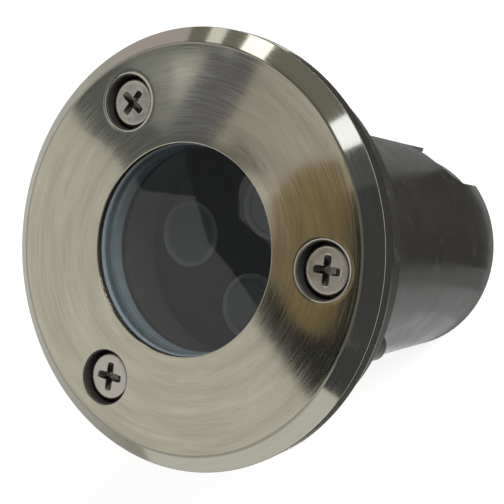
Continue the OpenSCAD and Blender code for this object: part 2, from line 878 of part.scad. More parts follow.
module gland_body() {
    color("#4a4a48") at_gland() difference() {
        union() {
            rod(gland_r, gland_foot_z, gland_top_z);
            hexagon(gland_af, gland_hex_z, gland_hex_z + gland_hex_h);
        }
        rod(gland_bore_r, gland_foot_z - over, gland_top_z + over);
        rod(seal_r, gland_foot_z - over, gland_foot_z + seal_l - seal_stand);
    }
}

module gland_washer() {
    color("#2c2c2c") at_gland() difference() {
        rod(gland_af / 2, skirt_h - washer_t, skirt_h);
        rod(gland_r, skirt_h - washer_t - over, skirt_h + over);
    }
}

module gland_locknut() {
    color("#4a4a48") at_gland() difference() {
        hexagon(gland_af, floor_z, floor_z + locknut_h);
        rod(gland_r, floor_z - over, floor_z + locknut_h + over);
    }
}

module gland_seal() {
    color("#2c2c2c") at_gland() difference() {
        rod(seal_r, gland_foot_z - seal_stand, gland_foot_z + seal_l - seal_stand);
        rod(cord_d / 2, gland_foot_z - seal_stand - over, gland_foot_z + seal_l);
    }
}

// Domed cap nut that squeezes the seal on the cord
module gland_nut() {
    top_z = gland_hex_z - nut_stand;
    color("#4a4a48") at_gland() difference() {
        intersection() {
            hexagon(gland_af, nut_foot_z, top_z);
            rotate_extrude() polygon([
                [0, nut_foot_z], [gland_af / 2 - nut_edge, nut_foot_z],
                [hex_r(gland_af), nut_foot_z + 2 * nut_edge], [hex_r(gland_af), top_z], [0, top_z]]);
        }
        rod(gland_r + fit_gap, nut_foot_z + nut_wall_t, top_z + over);
        rod(nut_mouth_r, nut_foot_z - over, top_z + over);
    }
}

face_ring();
ring_screw(0);  // ring_screw_1
ring_screw(1);  // ring_screw_2
ring_screw(2);  // ring_screw_3
glass_lens();
glass_gasket();
ground_pot();
thread_inserts();
lamp_body();
lamp_face();
lens_holders();
lamp_lenses();
led_board();
led_chips();
board_screw();
driver_board();
lamp_wires();
lamp_base();
lamp_pins();
lamp_socket();
socket_contacts();
socket_screws();
socket_bracket();
floor_screws();
terminal_block();
terminal_clamps();
terminal_screws();
lead_left();
lead_right();
gland_body();
gland_washer();
gland_locknut();
gland_seal();
gland_nut();
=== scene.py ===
"""In ground well light: a brushed steel trim ring over a tapered moulded pot with a pin-base lamp inside.

Blender 4.5, in metres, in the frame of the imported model: +Z is up and out of the ground, and the origin is the
centre of the rim that the pot stands on. The file is laid out as an add-on and is run as a script.
"""

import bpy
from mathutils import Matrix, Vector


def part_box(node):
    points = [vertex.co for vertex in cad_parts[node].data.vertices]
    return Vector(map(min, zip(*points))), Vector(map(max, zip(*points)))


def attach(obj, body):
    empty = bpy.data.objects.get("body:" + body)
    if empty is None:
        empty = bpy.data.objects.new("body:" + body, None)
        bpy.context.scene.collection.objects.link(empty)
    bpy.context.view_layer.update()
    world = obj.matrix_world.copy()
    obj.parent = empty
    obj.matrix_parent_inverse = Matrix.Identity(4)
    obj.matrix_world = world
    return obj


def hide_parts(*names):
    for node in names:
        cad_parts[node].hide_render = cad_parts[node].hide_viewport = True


bl_info = {
    "name": "In ground well light",
    "version": (1, 0, 0),
    "blender": (4, 5, 0),
    "location": "3D View > Sidebar > Well light",
    "description": "Dresses the packed well light: trim ring, screws, gasket, pot, lamp, socket, gland and stage",
    "category": "Object",
}

import math

import bpy
import numpy as np
from bpy.props import FloatProperty, FloatVectorProperty, PointerProperty
from mathutils import Matrix, Vector

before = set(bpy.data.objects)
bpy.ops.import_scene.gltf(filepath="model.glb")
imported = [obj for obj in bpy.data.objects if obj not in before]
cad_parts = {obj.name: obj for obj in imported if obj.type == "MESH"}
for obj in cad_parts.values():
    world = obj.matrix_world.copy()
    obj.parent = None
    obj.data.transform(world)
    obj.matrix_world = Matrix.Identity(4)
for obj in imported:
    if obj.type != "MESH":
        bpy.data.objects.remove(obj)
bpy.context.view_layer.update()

MM = 0.001
MICRON = 0.000001
FULL_TURN = 2 * math.pi
THIRDS = (0.0, FULL_TURN / 3, 2 * FULL_TURN / 3)
# Turns at which the small round pieces are laid out
AROUND = np.linspace(0, FULL_TURN, 193)
# Points closer than this are one vertex
WELD = 1e-7
# Faces that meet at more than this angle, in degrees, keep a sharp edge between them
SHARP_ANGLE = 35.0
# Radius of the circle on which strokes are laid out, in millimetres: about where they run on the ring
STROKE_CIRCLE = 40.0
# Span that holds nearly all of a noise's values
NOISE_SPAN = (0.3, 0.7)
# Materials of the ring's mesh, in their order. The last two are darker steels, painted shade for the wells and the
# window's wall.
BRUSHED, POLISHED, DRAWN_SHADED, SHEARED_SHADED = range(4)

RING_LOW, RING_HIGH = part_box("face_ring")
FACE_Z = RING_HIGH.z
GASKET_LOW, GASKET_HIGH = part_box("glass_gasket")
GLASS_LOW, GLASS_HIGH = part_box("glass_lens")


# ---------------- colours and nodes

def linear(code):
    """sRGB hex colour as linear RGBA, by the two-part sRGB curve."""
    parts = [int(code[i:i + 2], 16) / 255 for i in (1, 3, 5)]
    return tuple(c / 12.92 if c <= 0.04045 else ((c + 0.055) / 1.055) ** 2.4 for c in parts) + (1.0,)


def colour(label, says, code):
    """A colour property with the sRGB hex code as its default."""
    return FloatVectorProperty(name=label, description=says, subtype="COLOR", size=4, min=0.0, max=1.0,
                               default=linear(code))


def length(label, says, value):
    """A length property, in metres."""
    return FloatProperty(name=label, description=says, default=value, unit="LENGTH")


def tones(paint, spread):
    """The paint a share darker and the same share lighter: the two ends of a finish's mottling."""
    return [tuple(min(c * k, 1.0) for c in paint[:3]) + (1.0,) for k in (1 - spread, 1 + spread)]


def add_node(tree, kind, settings=None, **inputs):
    """Adds a node, sets its settings, and fills each input with a value or links it from a socket. An input is named
    by its number, as i0, or by its name with underscores for spaces."""
    node = tree.nodes.new(kind)
    for key, value in (settings or {}).items():
        setattr(node, key, value)
    for key, value in inputs.items():
        numbered = key[0] == "i" and key[1:].isdigit()
        socket = node.inputs[int(key[1:]) if numbered else key.replace("_", " ")]
        if isinstance(value, bpy.types.NodeSocket):
            tree.links.new(value, socket)
        else:
            socket.default_value = value
    return node


def result(tree, kind, settings=None, **inputs):
    """First output of a new node."""
    return add_node(tree, kind, settings, **inputs).outputs[0]


def calculated(tree, operation, *values):
    """Outcome of a Math node."""
    inputs = {f"i{i}": value for i, value in enumerate(values)}
    return result(tree, "ShaderNodeMath", {"operation": operation}, **inputs)


def new_material(name):
    """An empty node material with its output, and its tree."""
    material = bpy.data.materials.new(name)
    material.use_nodes = True
    tree = material.node_tree
    tree.nodes.clear()
    return material, tree, tree.nodes.new("ShaderNodeOutputMaterial")


def ramp(tree, factor, low, high, paint, spread):
    """Colour that runs from the paint's darker tone at low to its lighter tone at high."""
    node = add_node(tree, "ShaderNodeValToRGB", i0=factor)
    for element, place, tone in zip(node.color_ramp.elements, (low, high), tones(paint, spread)):
        element.position, element.color = place, tone
    return node.outputs[0]


def scaled(tree, value, low, high, to_low, to_high):
    """Value carried smoothly from one span to another, and held at its ends."""
    return result(tree, "ShaderNodeMapRange", {"interpolation_type": "SMOOTHSTEP"}, Value=value, From_Min=low,
                  From_Max=high, To_Min=to_low, To_Max=to_high)


def uneven(tree, pattern, level, less, more):
    """Level that varies with a noise pattern, from so much less to so much more."""
    return scaled(tree, pattern, *NOISE_SPAN, level - less, level + more)


def tinted(tree, paint, factor):
    """Colour or vector multiplied by a factor."""
    return result(tree, "ShaderNodeVectorMath", {"operation": "SCALE"}, i0=paint, Scale=factor)


def noise(tree, vector, size, detail=3.0, roughness=0.5):
    """Noise whose features are about size across, in the units of the coordinates: one size, or one for each axis."""
    if isinstance(size, tuple):
        vector = result(tree, "ShaderNodeMapping", Vector=vector, Scale=tuple(1 / s for s in size))
        size = 1
    return result(tree, "ShaderNodeTexNoise", Vector=vector, Scale=1 / size, Detail=detail, Roughness=roughness)


def object_place(tree):
    """Place on the piece, in metres of its own axes."""
    return add_node(tree, "ShaderNodeTexCoord").outputs["Object"]


def stroke_place(tree):
    """Place among strokes that run round the axis, in millimetres: distance from the axis less height, then the
    direction from the axis as a point of one circle, which closes on itself and so leaves no seam."""
    x, y, z = add_node(tree, "ShaderNodeSeparateXYZ", Vector=object_place(tree)).outputs
    spoke = result(tree, "ShaderNodeCombineXYZ", X=x, Y=y)
    radius = add_node(tree, "ShaderNodeVectorMath", {"operation": "LENGTH"}, i0=spoke).outputs["Value"]
    across = calculated(tree, "SUBTRACT", radius, z)
    across = calculated(tree, "MULTIPLY", across, 1 / MM)
    spoke = result(tree, "ShaderNodeVectorMath", {"operation": "NORMALIZE"}, i0=spoke)
    east, north, _ = add_node(tree, "ShaderNodeSeparateXYZ", Vector=tinted(tree, spoke, STROKE_CIRCLE)).outputs
    return result(tree, "ShaderNodeCombineXYZ", X=across, Y=east, Z=north)


def finish_surface(tree, output, paint, roughness, bump=None, bump_height=0.0, **rest):
    """Principled surface from a colour, a roughness, a height pattern in metres and what is uniform."""
    inputs = {"Base_Color": paint, "Roughness": roughness}
    if bump is not None:
        inputs["Normal"] = result(tree, "ShaderNodeBump", Height=bump, Distance=bump_height, Strength=1.0)
    shader = add_node(tree, "ShaderNodeBsdfPrincipled", **inputs, **rest)
    tree.links.new(shader.outputs[0], output.inputs["Surface"])


# ---------------- finishes

def brushed_stainless(name, paint, roughness, anisotropic, relief):
    """Stainless steel, ground in circles and brushed: long fine strokes round the ring, broken into patches, and
    reflections that feather across them."""
    material, tree, output = new_material(name)
    place = stroke_place(tree)
    # Real strokes are some 0.02 mm wide; drawn 0.24 mm wide and 11 mm long, to show at the render's scale
    strokes = noise(tree, place, (0.24, 11.0, 11.0), detail=4.0, roughness=0.65)
    patches = noise(tree, place, (2.6, 24.0, 24.0), detail=3.0, roughness=0.6)
    grooves = noise(tree, place, (0.16, 5.0, 5.0), detail=2.0, roughness=0.6)
    both = result(tree, "ShaderNodeMix", {"data_type": "FLOAT"}, Factor=0.5, i2=strokes, i3=patches)
    tangent = result(tree, "ShaderNodeTangent", {"direction_type": "RADIAL", "axis": "Z"})
    # A quarter turn lays the long way of the reflections across the strokes
    finish_surface(tree, output, ramp(tree, both, low=0.32, high=0.68, paint=paint, spread=0.19),
                   uneven(tree, strokes, roughness, less=0.02, more=0.035), grooves, relief, Metallic=1.0,
                   Anisotropic=anisotropic, Anisotropic_Rotation=0.25, Tangent=tangent)
    return material


def polished_stainless(name, paint, roughness, crease):
    """Stainless steel, turned and polished: mirror reflections with the faint lines of the turning, and a painted
    shade line that darkens the colour along the crease, at its distance from the axis less height, in millimetres."""
    material, tree, output = new_material(name)
    place = stroke_place(tree)
    lines = noise(tree, place, (0.2, 20.0, 20.0), detail=3.0, roughness=0.6)
    across = result(tree, "ShaderNodeSeparateXYZ", Vector=place)
    off = calculated(tree, "SUBTRACT", across, crease)
    off = calculated(tree, "ABSOLUTE", off)
    # Painted shade: within 0.15 mm of the crease the colour is 0.62 of the paint, and all of it again by 0.9 mm
    painted_crease_shade = scaled(tree, off, low=0.15, high=0.9, to_low=0.62, to_high=1.0)
    finish_surface(tree, output, tinted(tree, ramp(tree, lines, *NOISE_SPAN, paint, spread=0.06), painted_crease_shade),
                   uneven(tree, lines, roughness, less=0.03, more=0.04), lines, 0.5 * MICRON, Metallic=1.0)
    return material


def drawn_stainless(name, paint, roughness):
    """Stainless steel as it leaves the press or the shear: duller than what was polished, with short drag lines. The
    darker paints it is given stand in for shade: painted shade in the wells and on the window's wall."""
    material, tree, output = new_material(name)
    drag = noise(tree, object_place(tree), (0.5 * MM, 0.5 * MM, 2.2 * MM), detail=3.0, roughness=0.6)
    finish_surface(tree, output, ramp(tree, drag, *NOISE_SPAN, paint, spread=0.1),
                   uneven(tree, drag, roughness, less=0.05, more=0.06), drag, 1.5 * MICRON, Metallic=0.8)
    return material


def plated_metal(name, paint, roughness, grain=0.8 * MM, spread=0.09):
    """Rolled or plated metal: soft sheen with faint cloudy wear."""
    material, tree, output = new_material(name)
    place = object_place(tree)
    cloud = noise(tree, place, grain, detail=4.0, roughness=0.6)
    finish_surface(tree, output, ramp(tree, cloud, *NOISE_SPAN, paint, spread),
                   uneven(tree, cloud, roughness, less=0.05, more=0.07), noise(tree, place, grain / 3), 2 * MICRON,
                   Metallic=1.0)
    return material


def moulded_plastic(name, paint, roughness, grain=0.6 * MM, depth=4 * MICRON, scuffs=0.0, gloss=0.5):
    """Injection moulded plastic: an even colour with faint flow marks, a fine grain of some depth, and pale rubbed
    scuffs of some strength."""
    material, tree, output = new_material(name)
    place = object_place(tree)
    cloud = noise(tree, place, 9 * MM, detail=4.0, roughness=0.55)
    skin = ramp(tree, cloud, low=0.32, high=0.68, paint=paint, spread=0.09)
    if scuffs:
        rub = noise(tree, place, 7 * MM, detail=6.0, roughness=0.7)
        skin = tinted(tree, skin, scaled(tree, rub, low=0.56, high=0.7, to_low=1.0, to_high=1.0 + scuffs))
    finish_surface(tree, output, skin, uneven(tree, cloud, roughness, less=0.04, more=0.05),
                   noise(tree, place, grain, detail=2.0) if depth else None, depth, IOR=1.53, Specular_IOR_Level=gloss)
    return material


def soft_rubber(name, paint, roughness):
    """Moulded silicone or rubber: dull and slightly mottled, with a fine grain."""
    material, tree, output = new_material(name)
    place = object_place(tree)
    cloud = noise(tree, place, 2.5 * MM, detail=4.0, roughness=0.6)
    finish_surface(tree, output, ramp(tree, cloud, *NOISE_SPAN, paint, spread=0.07), roughness,
                   noise(tree, place, 0.5 * MM), 5 * MICRON, IOR=1.43)
    return material


def toughened_glass(name, paint, dust_paint):
    """Toughened soda-lime glass with a trace of dust. Light for what lies behind goes straight through it."""
    material, tree, output = new_material(name)
    clear = result(tree, "ShaderNodeBsdfPrincipled", Base_Color=paint, Roughness=0.02, IOR=1.48,
                   Transmission_Weight=1.0)
    dust = noise(tree, object_place(tree), 6 * MM, detail=5.0, roughness=0.65)
    film = result(tree, "ShaderNodeBsdfDiffuse",
                  Color=ramp(tree, dust, low=0.35, high=0.7, paint=dust_paint, spread=0.2))
    cover = scaled(tree, dust, low=0.4, high=0.75, to_low=0.0, to_high=0.006)
    seen = result(tree, "ShaderNodeMixShader", i0=cover, i1=clear, i2=film)
    path = add_node(tree, "ShaderNodeLightPath").outputs
    through = calculated(tree, "MAXIMUM", path["Is Shadow Ray"], path["Is Diffuse Ray"])
    window = result(tree, "ShaderNodeBsdfTransparent", Color=(0.88, 0.89, 0.89, 1))
    both = result(tree, "ShaderNodeMixShader", i0=through, i1=seen, i2=window)
    tree.links.new(both, output.inputs["Surface"])
    return material


def moulded_acrylic(name, paint):
    """Acrylic lens, moulded: clear and softened by its fine facets, with a painted sheen that makes it paler towards
    its edge.
    """
    material, tree, output = new_material(name)
    # Painted sheen: the colour runs from half the paint where the lens faces the view to 1.8 times it where the view
    # grazes it
    edge = add_node(tree, "ShaderNodeLayerWeight", Blend=0.5).outputs["Facing"]
    shade = scaled(tree, edge, low=0.3, high=0.7, to_low=0.5, to_high=1.8)
    finish_surface(tree, output, tinted(tree, paint[:3], shade), roughness=0.34, IOR=1.49, Transmission_Weight=0.5,
                   Specular_IOR_Level=0.2)
    return material


# ---------------- surfaces

def arc_points(centre, radius, start, end, steps):
    """Points (radius, height) of a circular arc in a profile, angles in degrees."""
    a = np.radians(np.linspace(start, end, steps + 1))
    return np.column_stack([centre[0] + radius * np.cos(a), centre[1] + radius * np.sin(a)])


def revolve(profile, turns):
    """Carries a profile of (radius, height) rows round the Z axis: each row's radius is laid out at every turn,
    as x = radius * cos(turn) and y = radius * sin(turn)."""
    radius, height = profile[:, :1], profile[:, 1:]
    return np.stack([radius * np.cos(turns), radius * np.sin(turns), height + 0 * turns], axis=-1)


def about(points, x, y, turn=0.0):
    """Turns points about Z and moves the axis to (x, y)."""
    c, s = math.cos(turn), math.sin(turn)
    turned = points @ np.array([[c, s, 0], [-s, c, 0], [0, 0, 1]])
    return turned + np.array([x, y, 0])


def grid_faces(rows, columns):
    """Corner indices of every cell of a grid, in the order that makes row direction x column direction point out."""
    i, j = np.meshgrid(np.arange(rows - 1), np.arange(columns - 1), indexing="ij")
    a = (i * columns + j).ravel()
    return np.column_stack([a, a + columns, a + columns + 1, a + 1])


def build_piece(name, patches, materials):
    """Makes one closed mesh from patches of (grid of points, material index). Points that fall together are one
    vertex, and a cell side of no length is dropped, so seams and poles close."""
    points, cells, slots = [], [], []
    start = 0
    for grid, index in patches:
        rows, columns = grid.shape[:2]
        points.append(grid.reshape(-1, 3))
        faces = grid_faces(rows, columns) + start
        cells.append(faces)
        slots.append(np.full(len(faces), index))
        start += rows * columns
    points, cells, slots = np.concatenate(points), np.concatenate(cells), np.concatenate(slots)
    places = np.round(points / WELD).astype(np.int64)
    _, first, same = np.unique(places, axis=0, return_index=True, return_inverse=True)
    corners = same.ravel()[cells]
    kept = corners != np.roll(corners, -1, axis=1)
    counts = kept.sum(1)
    whole = counts > 2
    kept &= whole[:, None]
    loops, totals = corners[kept], counts[whole]
    mesh = bpy.data.meshes.new(name)
    mesh.vertices.add(len(first))
    mesh.vertices.foreach_set("co", points[first].astype(np.float32).ravel())
    mesh.loops.add(len(loops))
    mesh.loops.foreach_set("vertex_index", loops.astype(np.int32))
    mesh.polygons.add(len(totals))
    mesh.polygons.foreach_set("loop_start", np.concatenate([[0], np.cumsum(totals)[:-1]]).astype(np.int32))
    mesh.polygons.foreach_set("loop_total", totals.astype(np.int32))
    mesh.polygons.foreach_set("material_index", slots[whole].astype(np.int32))
    mesh.polygons.foreach_set("use_smooth", np.ones(len(totals), bool))
    mesh.update(calc_edges=True)
    mesh.set_sharp_from_angle(angle=math.radians(SHARP_ANGLE))
    if mesh.validate():
        raise RuntimeError(f"{name} had faults in its mesh")
    piece = bpy.data.objects.new(name, mesh)
    bpy.context.scene.collection.objects.link(piece)
    for material in materials:
        mesh.materials.append(material)
    return piece


def dress(material, *nodes):
    """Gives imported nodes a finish, in each of their material slots."""
    for name in nodes:
        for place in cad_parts[name].material_slots:
            place.material = material


# ---------------- trim ring

class RingSizes(bpy.types.PropertyGroup):
    """Sizes and colours of the trim ring"""
    radius: length("Ring radius", "Radius of the ring's straight edge", RING_HIGH.x)
    flat_radius: length("Flat radius", "Radius at which the bevel starts", 46.1 * MM)
    bevel_drop: length("Bevel drop", "Height of the bevel", 2.8 * MM)
    sheet: length("Sheet", "Thickness of the steel", 1.5 * MM)
    window: length("Window radius", "Radius of the opening over the glass", 23.9 * MM)
    screw_circle: length("Screw circle", "Radius of the circle of the ring screws", 36.8 * MM)
    screw_turn: FloatProperty(name="First screw", description="Turn of the first ring screw from +X",
                              default=math.radians(-6.8), subtype="ANGLE", unit="ROTATION")
    well_radius: length("Well radius", "Radius of a pressed well", 6.2 * MM)
    well_depth: length("Well depth", "Depth of a pressed well", 4.7 * MM)
    halo: length("Halo", "Width of the rim that dips towards a well", 1.5 * MM)
    brushed: colour("Brushed steel", "Steel of the flat face", "#bdb8a4")
    polished: colour("Polished steel", "Steel of the bevel and of the wells' lips", "#c4c1b1")
    # Painted shade: this steel is darker than the brushed and polished steel, standing in for the shade inside the
    # wells
    drawn: colour("Drawn steel, painted shade", "Steel inside the wells", "#5d5a55")
    # Painted shade: the darkest steel, standing in for the shade on the window's wall
    sheared_shaded: colour("Sheared steel, painted shade", "Steel of the window's wall", "#3b3935")


def ring_outside(sizes):
    """Profile from the flat face over the bevel, the straight edge and its foot to the underside, with small rounds
    where the sheet turns."""
    slope = math.atan2(sizes.bevel_drop, sizes.radius - sizes.flat_radius)
    half, lean = slope / 2, math.degrees(slope)
    turn_r, rim_r, foot_r = 0.9 * MM, 0.35 * MM, 0.3 * MM
    low = RING_LOW.z
    inside = sizes.radius - sizes.sheet
    rim_back = rim_r * math.tan((math.pi / 2 - slope) / 2)
    rim_z = FACE_Z - sizes.bevel_drop - rim_back
    under_z = FACE_Z - sizes.sheet
    bend = arc_points((sizes.flat_radius - turn_r * math.tan(half), FACE_Z - turn_r), turn_r, 90, 90 - lean, 6)
    rim = arc_points((sizes.radius - rim_r, rim_z), rim_r, 90 - lean, 0, 6)
    # Rows close to both ends of a straight stretch keep its shading straight
    hold = 0.06 * MM
    down = np.array([math.cos(slope), -math.sin(slope)]) * hold
    return np.concatenate([
        bend, [bend[-1] + down, rim[0] - down], rim, [rim[-1] - (0, hold), (sizes.radius, low + foot_r + hold)],
        arc_points((sizes.radius - foot_r, low + foot_r), foot_r, 0, -90, 4),
        arc_points((inside + foot_r, low + foot_r), foot_r, -90, -180, 4),
        [[inside, FACE_Z - sizes.bevel_drop - sizes.sheet * math.tan(math.pi / 4 - half)],
         [sizes.flat_radius - sizes.sheet * math.tan(half), under_z]],
    ])


# Rows of the window's profile on its sheared wall
WALL_ROWS = 3


def ring_window(sizes):
    """Profile up the wall of the window and round its upper edge."""
    edge = 0.22 * MM
    return np.concatenate([
        np.linspace((sizes.window, FACE_Z - sizes.sheet), (sizes.window, FACE_Z - edge), WALL_ROWS)[:-1],
        arc_points((sizes.window + edge, FACE_Z - edge), edge, 180, 90, 6),
    ])


def ring_well(sizes):
    """Profile of one pressed well: down its outside, under its floor, up through the screw hole, over the floor and
    up the drawn wall, over the polished lip and out to the face, from which the rim dips a little. Also the rows at
    which the floor, the polish and the brushed rim start."""
    wall, lip, fillet, hole = 1.1 * MM, 0.55 * MM, 0.6 * MM, 3.3 * MM
    out_fillet, hole_edge, sink = 0.9 * MM, 0.15 * MM, 0.035 * MM
    lip_steps, drawn_steps = 8, 6
    r, top, floor = sizes.well_radius, FACE_Z, FACE_Z - sizes.well_depth
    foot, under = floor - sizes.sheet, FACE_Z - sizes.sheet
    reach = np.linspace(0, 1, 9)[1:]
    outside = np.concatenate([
        np.linspace((r + wall, under), (r + wall, foot + out_fillet), 3)[:-1],
        arc_points((r + wall - out_fillet, foot + out_fillet), out_fillet, 0, -90, 5),
        [[hole, foot], [hole, floor - hole_edge], [hole + hole_edge, floor]],
    ])
    inside = arc_points((r - fillet, floor + fillet), fillet, -90, 0, 5)
    rim = np.concatenate([
        arc_points((r + lip, top - sink - lip), lip, 180, 90, lip_steps),
        np.column_stack([r + lip + (sizes.halo - lip) * reach, top - sink * (1 - reach) ** 2]),
    ])
    lip_row = len(outside) + len(inside)
    return np.concatenate([outside, inside, rim]), len(outside), lip_row + drawn_steps, lip_row + lip_steps


def sector_outline(inner, outer, edge_steps, side_steps):
    """Outline of a third of a flat ring in (radius, turn): out along the outer edge, in along the far side, back
    along the inner edge and out along the near side."""
    half = math.pi / 3
    legs = [((outer, -half), (outer, half), edge_steps), ((outer, half), (inner, half), side_steps),
            ((inner, half), (inner, -half), edge_steps), ((inner, -half), (outer, -half), side_steps)]
    points = [np.linspace(a, b, n + 1)[:-1] for a, b, n in legs]
    return np.concatenate(points + [points[0][:1]])


def hole_turns(outline, circle):
    """Directions from a hole's centre to the outline's points, with arc length standing for the turn."""
    turns = np.arctan2(circle * outline[:, 1], outline[:, 0] - circle)
    return np.unwrap(turns)


def flat_sector(outline, turns, circle, hole, rows):
    """Flat face between a round hole and its sector's outline. Both are taken as (radius, turn) pairs, and each row
    is their mean by a share that grows from hole to outline. A last narrow row keeps the shading flat up to the
    edge."""
    before_last = 0.997
    x, y = circle + hole * np.cos(turns), hole * np.sin(turns)
    ring = np.column_stack([np.hypot(x, y), np.arctan2(y, x)])
    share = np.append(np.linspace(0, before_last, rows), 1.0)[:, None, None]
    polar = (1 - share) * ring + share * outline
    radius, turn = polar[..., 0], polar[..., 1]
    return np.stack([radius * np.cos(turn), radius * np.sin(turn), 0 * radius], axis=-1)


def trim_ring(sizes, brushed, polished, drawn, sheared_shaded):
    """Pressed ring: revolved bevel and window edge, a flat face in three sectors with a well in each, and the same
    again underneath. A well's turns run from those of the sector below to those of the sector on top, row by row."""
    outside, window = ring_outside(sizes), ring_window(sizes)
    well, floor_row, polish_row, rim_row = ring_well(sizes)
    edge_steps, side_steps, top_rows, under_rows = 96, 14, 22, 8
    turns = sizes.screw_turn - math.pi / 3 + np.linspace(0, FULL_TURN, 3 * edge_steps + 1)
    # The window's wall takes the darkest steel: painted shade
    rounds = (outside, POLISHED), (window[:WALL_ROWS], SHEARED_SHADED), (window[WALL_ROWS - 1:], BRUSHED)
    patches = [(revolve(part, turns), finish) for part, finish in rounds]
    top = sector_outline(window[-1, 0], outside[0, 0], edge_steps, side_steps)
    under = sector_outline(window[0, 0], outside[-1, 0], edge_steps, side_steps)
    circle = sizes.screw_circle
    top_turns, under_turns = hole_turns(top, circle), hole_turns(under, circle)
    share = np.linspace(0, 1, len(well))[:, None]
    well_turns = (1 - share) * under_turns + share * top_turns
    for third in THIRDS:
        turn = sizes.screw_turn + third
        place = (circle * math.cos(turn), circle * math.sin(turn))
        for outline, angles, hole, height, rows, way in (
                (top, top_turns, well[-1, 0], FACE_Z, top_rows, 1),
                (under, under_turns, well[0, 0], FACE_Z - sizes.sheet, under_rows, -1)):
            face = flat_sector(outline, angles, circle, hole, rows)[::way]
            face[..., 2] = height
            patches.append((about(face, 0, 0, turn), BRUSHED))
        cup = about(revolve(well, well_turns + turn), *place)
        # The well's floor and inner wall take the darker steel: painted shade
        for start, end, finish in ((0, floor_row, POLISHED), (floor_row - 1, polish_row + 1, DRAWN_SHADED),
                                   (polish_row, rim_row + 1, POLISHED), (rim_row, None, BRUSHED)):
            patches.append((cup[start:end], finish))
    return build_piece("TrimRing", patches, [brushed, polished, drawn, sheared_shaded])


class DressTrimRing(bpy.types.Operator):
    """Builds the brushed trim ring with its three pressed wells"""
    bl_idname = "well_light.trim_ring"
    bl_label = "Trim ring"

    def execute(self, context):
        sizes = context.scene.well_light_ring
        brushed = brushed_stainless("Brushed stainless steel", sizes.brushed, roughness=0.066, anisotropic=0.35,
                                    relief=0.9 * MICRON)
        polished = polished_stainless("Polished stainless steel with painted crease shade", sizes.polished, roughness=0.08,
                                      crease=(sizes.flat_radius - FACE_Z) / MM)
        # The wells and the window's wall take darker paints than the brushed and polished steel: painted shade, over a
        # rougher real finish
        drawn = drawn_stainless("Drawn stainless steel with painted shade", sizes.drawn, roughness=0.38)
        sheared_shaded = drawn_stainless("Sheared stainless steel with painted shade", sizes.sheared_shaded, roughness=0.5)
        ring = trim_ring(sizes, brushed, polished, drawn, sheared_shaded)
        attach(ring, "trim")
        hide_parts("face_ring")
        return {"FINISHED"}


# ---------------- ring screws

class ScrewSizes(bpy.types.PropertyGroup):
    """Sizes and colours of the three ring screws"""
    head_radius: length("Head radius", "Radius of a screw head", 5.5 * MM)
    head_edge: length("Head edge", "Round of the head's upper edge", 0.7 * MM)
    head_height: length("Head height", "Height of a screw head", 3 * MM)
    shank_radius: length("Shank radius", "Radius over the thread", 2.95 * MM)
    pitch: length("Thread pitch", "Pitch of the thread", 1 * MM)
    cross_reach: length("Cross reach", "Half the width of the cross recess", 3.3 * MM)
    cross_arm: length("Cross arm", "Half the width of an arm of the cross", 0.85 * MM)
    cross_depth: length("Cross depth", "Depth of the cross recess", 2.1 * MM)
    steel: colour("Screw steel", "Steel of the heads and threads", "#c2bcb0")
    # Painted shade: the recess steel is darker than the head's, standing in for the shade inside the cross
    recess: colour("Recess", "Steel inside the cross recess", "#7d7a73")


# Turn of each screw's cross from +X, in degrees, as the screws were left
CROSS_TURNS = (82.0, 47.0, 80.0)


def cross_outline(reach, arm, turns):
    """Distance from the centre to the outline of a cross with rounded arms. Each arm is a squared ellipse, of power
    six, and the two are joined by the twelfth root of the sum of their twelfth powers, which rounds the inner
    corners."""
    squared, joined = 6, 12
    c, s = np.abs(np.cos(turns)), np.abs(np.sin(turns))
    one = ((c / reach) ** squared + (s / arm) ** squared) ** (-1 / squared)
    two = ((s / reach) ** squared + (c / arm) ** squared) ** (-1 / squared)
    return (one ** joined + two ** joined) ** (1 / joined)


def screw_surface(sizes, top, foot):
    """One grid from the middle of the cross recess up its tapering walls, over the flat head and its rounded edge,
    under the head and down the thread to the tip, and the number of its rows in the recess. The thread's radius
    follows the height plus the turn's share of one pitch, as a triangle wave."""
    # The recess at its foot as shares of its top, the neck as a share of the shank, the thread's depth of its pitch
    reach_taper, arm_taper, neck_share, thread_share = 0.42, 0.8, 0.9, 0.6
    cone, lip, under_edge, tip_edge = 0.25 * MM, 0.16 * MM, 0.15 * MM, 0.5 * MM
    run_in, run_out, pitch_steps = 0.6 * MM, 0.8 * MM, 6
    rows = []

    def row(radius, height):
        rows.append((radius + 0 * AROUND, height + 0 * AROUND))

    wide = cross_outline(sizes.cross_reach, sizes.cross_arm, AROUND)
    deep = cross_outline(sizes.cross_reach * reach_taper, sizes.cross_arm * arm_taper, AROUND)
    pit = top - sizes.cross_depth
    for share in (0.0, 0.35, 0.7, 1.0):
        row(deep * share, pit + cone * share)
    for share in (0.3, 0.6, 0.85, 0.95):
        row(deep + (wide - deep) * share, pit + cone + (sizes.cross_depth - cone) * share)
    recess_rows = len(rows)
    row(wide + lip * 0.2, top - lip * 0.5)
    row(wide + lip, top)
    rim = sizes.head_radius - sizes.head_edge
    for share in (0.15, 0.4, 0.7):
        row((wide + lip) * (1 - share) + rim * share, top)
    for a in np.radians(np.linspace(90, 0, 8)):
        row(rim + sizes.head_edge * math.cos(a), top - sizes.head_edge + sizes.head_edge * math.sin(a))
    under = top - sizes.head_height
    row(sizes.head_radius, under + under_edge)
    row(sizes.head_radius - under_edge, under)
    row(sizes.shank_radius * neck_share, under)
    crest, root = sizes.shank_radius, sizes.shank_radius - thread_share * sizes.pitch
    for height in np.arange(under - run_in, foot + run_out, -sizes.pitch / pitch_steps):
        wave = np.abs(((height / sizes.pitch - AROUND / FULL_TURN) % 1) * 2 - 1)
        row(root + (crest - root) * wave, height)
    row(root, foot + tip_edge)
    row(root - tip_edge, foot)
    row(0.0, foot)
    radius, height = (np.array(values) for values in zip(*rows))
    return np.stack([radius * np.cos(AROUND), radius * np.sin(AROUND), height], axis=-1), recess_rows


